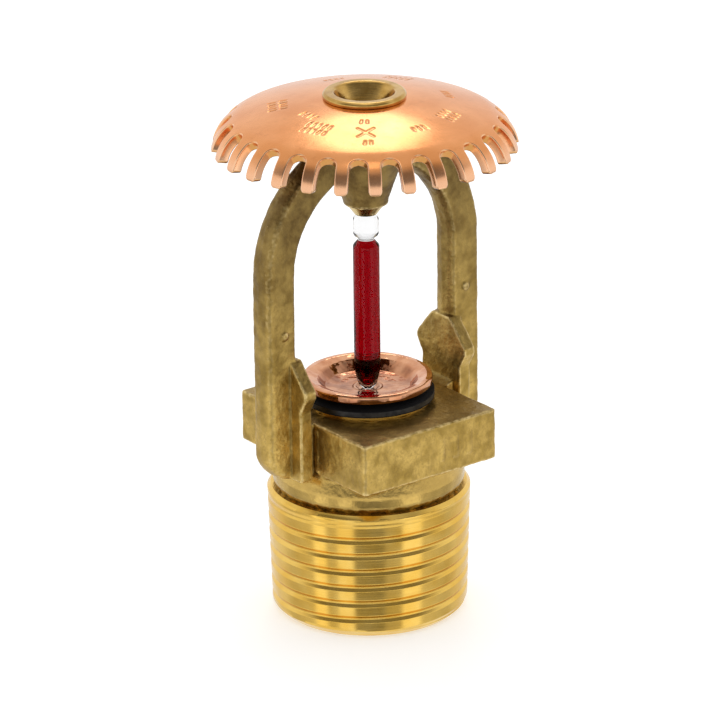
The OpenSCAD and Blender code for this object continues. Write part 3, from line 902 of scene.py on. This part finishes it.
def make_cap(material):
    """Pressed cap with a broad rolled rim, a steep wall and a flat floor round the bulb's foot."""
    floor, rim_low = CAP_LOW[2], CAP_LOW[2] + CAP_RIM_RISE
    rim_r, rim_top = CAP_HIGH[0], CAP_HIGH[2]
    hole_r = INSERT_HIGH[0] + 0.01
    outline = rounded([
        (hole_r, floor, 0.05), (4.1, floor, 0.3),
        (4.95, rim_low, 0.25), (rim_r - 0.05, rim_low - 0.02, 0.5),             # wall and rim, below
        (rim_r, rim_top - 0.02, 0.6), (6.2, rim_top, 0.5),                      # rim, above
        (5.35, 25.6, 0.5), (4.45, 24.62, 0.4),                                  # wall, inside
        (3.3, CAP_DISH_Z, 0.5), (hole_r, CAP_DISH_Z, 0.06)], steps=8)
    vertices, faces = lathe(outline, 224)
    piece = add_piece("pip_cap_pressed", vertices, faces, "release_stack", "cap_copper", material, sharp=50)
    outward(piece)
    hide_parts("pip_cap")


def make_bulb(glass, liquid):
    """Glass bulb with neck and ball end, and the red liquid in it."""
    low, top, r = BULB_LOW[2], BULB_HIGH[2], BULB_HIGH[0]
    outline = rounded([
        (0, low, 0), (0.55, low, 0.3), (0.98, low + 0.5, 0.5),                  # foot
        (r, low + 2.1, 1.0), (r, BARREL_TOP_Z, 0.6),                            # barrel
        (0.83, 41.0, 0.35), (0.83, 41.12, 0.1),                                 # neck
        (1.36, 41.5, 0.7), (1.37, 43.4, 0.7),                                   # ball end
        (0.75, top - 0.12, 0.4), (0.5, top, 0.15), (0, top, 0)], steps=8)
    vertices, faces = lathe(outline, 96)
    shell = add_piece("bulb_glass_drawn", vertices, faces, "release_stack", "bulb_glass", glass)
    outward(shell)
    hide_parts("bulb_glass")
    fill_r = r - BULB_WALL
    fill = rounded([
        (0, low + 0.42, 0), (0.25, low + 0.45, 0.1), (0.85, low + 1.15, 0.5),
        (fill_r, low + 2.3, 0.8), (fill_r, 40.25, 0.5),
        (0.75, FILL_TOP_Z, 0.1), (0, FILL_TOP_Z, 0)], steps=8)
    vertices, faces = lathe(fill, 96)
    core = add_piece("bulb_liquid_fill", vertices, faces, "release_stack", "bulb_liquid", liquid)
    outward(core)
    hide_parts("bulb_liquid")


# ---------------------------------------------------------------- stage

def direction(azimuth, elevation):
    """Unit vector towards a place at an azimuth and elevation in degrees, seen from the object."""
    az, el = math.radians(azimuth), math.radians(elevation)
    return Vector((math.sin(az) * math.cos(el), -math.cos(az) * math.cos(el), math.sin(el)))


def add_light(name, azimuth, elevation, distance, size, power):
    """An area light aimed at the object. Azimuth 0 is towards the camera and grows to its right."""
    data = bpy.data.lights.new(name, "AREA")
    data.shape = "ELLIPSE"
    data.size, data.size_y = (c * MM for c in size)
    data.energy = power
    light = bpy.data.objects.new(name, data)
    bpy.context.scene.collection.objects.link(light)
    back = direction(CAMERA_AZ + azimuth, elevation)
    light.location = (Vector((0, 0, LIGHT_AIM_Z)) + back * distance) * MM
    light.rotation_euler = back.to_track_quat("Z", "Y").to_euler()
    light.visible_camera = False


def make_world():
    """A white studio with soft upright panels round the object and a dim gap at the front."""
    world = bpy.data.worlds.new("studio")
    bpy.context.scene.world = world
    world.use_nodes = True
    tree = world.node_tree
    coordinates = tree.nodes.new("ShaderNodeTexCoord")
    turn = tree.nodes.new("ShaderNodeMapping")
    turn.inputs["Rotation"].default_value = (0, 0, math.radians(90 - CAMERA_AZ))
    around = tree.nodes.new("ShaderNodeTexGradient")
    around.gradient_type = "RADIAL"
    split = tree.nodes.new("ShaderNodeSeparateXYZ")
    tree.links.new(coordinates.outputs["Generated"], turn.inputs["Vector"])
    tree.links.new(turn.outputs["Vector"], around.inputs["Vector"])
    tree.links.new(coordinates.outputs["Generated"], split.inputs["Vector"])

    def panels(levels):
        """Brightness round the object, from (azimuth, level) pairs."""
        ramp = tree.nodes.new("ShaderNodeValToRGB")
        ramp.color_ramp.interpolation = "EASE"
        stops = ramp.color_ramp.elements
        for _ in range(len(levels) - 2):
            stops.new(0.5)
        for stop, (azimuth, level) in zip(stops, levels):
            stop.position = azimuth / 360 + 0.5
            stop.color = (level, level, level, 1)
        tree.links.new(around.outputs["Fac"], ramp.inputs["Fac"])
        return ramp.outputs["Color"]

    def above(limits, low, high):
        """Colour low under the first limit of the elevation's sine, and colour high over the second."""
        factor = tree.nodes.new("ShaderNodeMapRange")
        factor.inputs["From Min"].default_value, factor.inputs["From Max"].default_value = limits
        tree.links.new(split.outputs["Z"], factor.inputs["Value"])
        blend = tree.nodes.new("ShaderNodeMix")
        blend.data_type = "RGBA"
        tree.links.new(factor.outputs["Result"], blend.inputs["Factor"])
        for socket, colour in ((blend.inputs[6], low), (blend.inputs[7], high)):
            if isinstance(colour, float):
                socket.default_value = (colour, colour, colour, 1)
            else:
                tree.links.new(colour, socket)
        return blend.outputs[2]

    colour = above(STUDIO_TABLE_RANGE, STUDIO_TABLE, panels(STUDIO_PANELS))
    colour = above(STUDIO_HORIZON_RANGE, colour, STUDIO_HORIZON)
    colour = above(STUDIO_UPPER_RANGE, colour, panels(STUDIO_UPPER))
    colour = above(STUDIO_TOP_RANGE, colour, STUDIO_TOP)
    background = tree.nodes["Background"]
    tree.links.new(colour, background.inputs["Color"])
    background.inputs["Strength"].default_value = 1.0


def make_camera():
    data = bpy.data.cameras.new("camera")
    camera = bpy.data.objects.new("camera", data)
    bpy.context.scene.collection.objects.link(camera)
    back = direction(CAMERA_AZ, CAMERA_EL)
    camera.location = (Vector(CAMERA_AIM) + back * CAMERA_DISTANCE) * MM
    camera.rotation_euler = back.to_track_quat("Z", "Y").to_euler()
    camera.rotation_euler.rotate_axis("Z", math.radians(CAMERA_ROLL))
    data.lens = CAMERA_LENS
    data.sensor_width = CAMERA_SENSOR
    data.clip_start = 0.01
    data.clip_end = 20
    bpy.context.scene.camera = camera


def make_floor():
    """A white floor. The metal mirrors the studio's panels instead of it."""
    mesh = bpy.data.meshes.new("floor")
    corners = [(FLOOR_HALF * x, FLOOR_HALF * y, 0) for x, y in ((-1, -1), (1, -1), (1, 1), (-1, 1))]
    mesh.from_pydata(corners, [], [(0, 1, 2, 3)])
    floor = bpy.data.objects.new("floor", mesh)
    bpy.context.scene.collection.objects.link(floor)
    s = Shader("floor", Roughness=0.9, Emission_Color=(1, 1, 1, 1), Emission_Strength=0.45)
    s.set(Base_Color=s.mix(s.noise(0.02, 2.0), (0.93, 0.93, 0.93, 1), (0.95, 0.95, 0.95, 1)))
    mesh.materials.append(s.material)
    floor.visible_glossy = False


def make_stage():
    bpy.context.scene.view_settings.view_transform = "Standard"
    make_camera()
    make_world()
    make_floor()
    add_light("top_back", 179, 45, 500, (150, 190), 0.19)
    add_light("top", 10, 80, 500, (160, 160), 0.05)


make_stage()
make_machined_body(machined_brass())
make_casting(cast_brass())
make_nose(polished_brass())
make_deflector(deflector_copper())
make_cap(cap_copper())
make_bulb(bulb_glass(), bulb_liquid())
CAD_MATERIALS = {
    "compression_screw": plain_metal("screw_brass", (0.62, 0.46, 0.19, 1), (0.74, 0.56, 0.25, 1), 0.2, 0.3),
    "pip_insert": plain_metal("insert_copper", (0.50, 0.25, 0.15, 1), (0.62, 0.34, 0.21, 1), 0.18, 0.28),
    # The spring is coloured near black, like the two tapes.
    "disc_spring": plain_metal("spring_nickel", (0.05, 0.05, 0.052, 1), (0.09, 0.09, 0.09, 1), 0.35, 0.45),
    "seal_tape_upper": seal_tape(),
    "seal_tape_lower": seal_tape()}
for name, material in CAD_MATERIALS.items():
    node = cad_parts[name]
    node.data.materials.clear()
    node.data.materials.append(material)
